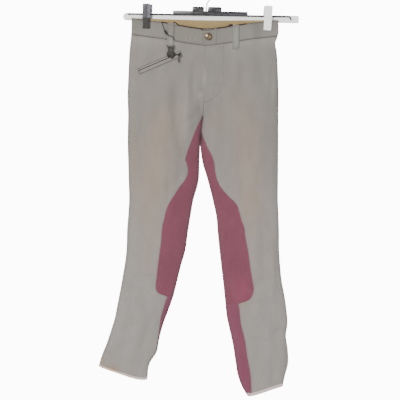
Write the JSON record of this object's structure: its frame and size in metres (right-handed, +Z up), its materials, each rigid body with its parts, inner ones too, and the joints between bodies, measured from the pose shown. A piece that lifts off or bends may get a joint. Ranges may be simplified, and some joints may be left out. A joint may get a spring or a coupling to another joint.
{
  "type": "riding breeches on a clip hanger",
  "caption": "Riding breeches with contrast seat and inner leg patches, slanted zip pocket and flat waist, hanging from a clip hanger.",
  "frame": {"origin": "underside of the top of the hanger's hook, where a rail carries it", "axes": "+Z up, X across the waist with the wearer's right leg at -X, the front faces -Y"},
  "size_m": [0.467, 0.0582, 1.0062],
  "materials": {
    "twill": "matt stretch twill",
    "band_twill": "matt stretch twill",
    "plum": "brushed grip cloth",
    "facing": "plain weave",
    "binding": "knitted binding",
    "tan_tab": "hook and loop tab",
    "antique_brass": "antique brass",
    "dark_metal": "dark cast alloy",
    "dark_cord": "round cord",
    "white_plastic": "satin white",
    "steel": "bright plated",
    "chrome": "polished"
  },
  "bodies": {
    "garment_and_hanger": {"front_right_hip": "twill", "front_right_thigh": "twill", "front_right_calf": "twill", "front_left_hip": "twill", "front_left_thigh": "twill", "front_left_calf": "twill", "back_right_hip": "twill", "back_right_thigh": "twill", "back_right_calf": "twill", "back_left_hip": "twill", "back_left_thigh": "twill", "back_left_calf": "twill", "fly": "twill", "pocket_welt_upper": "twill", "pocket_welt_lower": "twill", "waistband_front_right": "band_twill", "waistband_front_left": "band_twill", "waistband_back_right": "band_twill", "waistband_back_left": "band_twill", "waistband_overlap": "band_twill", "belt_loop_front_right": "band_twill", "belt_loop_front_left": "band_twill", "belt_loop_back_right": "band_twill", "belt_loop_back_left": "band_twill", "seat_patch_right": "plum", "seat_patch_left": "plum", "calf_strip_right": "plum", "calf_strip_left": "plum", "facing_right": "facing", "facing_left": "facing", "hem_right": "binding", "hem_left": "binding", "ankle_tab": "tan_tab", "button": "antique_brass", "pocket_zip": "dark_metal", "zip_slider": "dark_metal", "fob": "dark_metal", "cord_upper": "dark_cord", "cord_lower": "dark_cord", "cord_bead": "dark_cord", "hanger_bar": "white_plastic", "hanger_rod": "steel", "hanger_saddle": "steel", "clip_right": "steel", "clip_left": "steel", "hanger_hook": "chrome"},
    "pull_tab": {"zip_pull": "dark_metal"}
  },
  "joints": [
    {"name": "pull_tab_swing", "type": "hinge", "parent": "garment_and_hanger", "child": "pull_tab", "pos_m": [-0.0635, -0.03466, -0.1894], "axis": [-1, 0, 0], "range_deg": [0, 150]}
  ]
}
